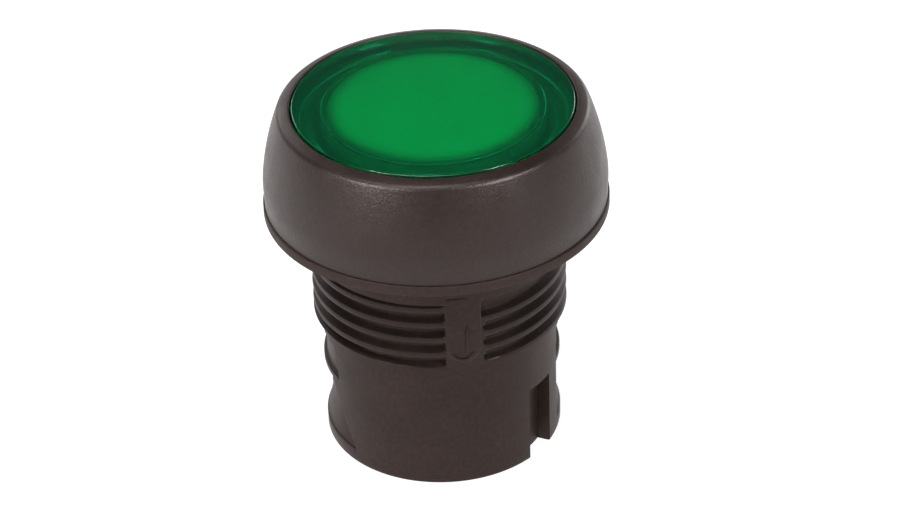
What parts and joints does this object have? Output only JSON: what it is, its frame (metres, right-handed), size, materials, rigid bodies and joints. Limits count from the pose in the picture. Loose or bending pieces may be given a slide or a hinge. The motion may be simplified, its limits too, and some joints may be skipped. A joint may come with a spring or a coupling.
{
  "type": "panel pilot light head",
  "caption": "Flush round panel pilot light head: green lens in a crowned bezel, threaded neck with a key, open barrel with a locating notch and latch pockets.",
  "frame": {"origin": "centre of the neck in the plane of the panel's front face, where the gasket seats", "axes": "+Z out of the panel, through the lens; -Y towards the key; +X completes the frame"},
  "size_m": [0.0295, 0.0294, 0.0323],
  "materials": {
    "body_plastic": "moulded satin dark warm grey polyamide",
    "bezel_plastic": "moulded satin dark warm grey plastic",
    "green_lens": "translucent green polycarbonate, satin face",
    "white_diffuser": "milky white",
    "white_reflector": "smooth white",
    "seal_rubber": "smooth black",
    "gasket_rubber": "matt dark grey"
  },
  "bodies": {
    "root": {"barrel_body": "body_plastic", "bezel_ring": "bezel_plastic", "lens": "green_lens", "diffuser": "white_diffuser", "light_sleeve": "white_reflector", "lens_seal": "seal_rubber", "panel_gasket": "gasket_rubber"}
  },
  "joints": []
}
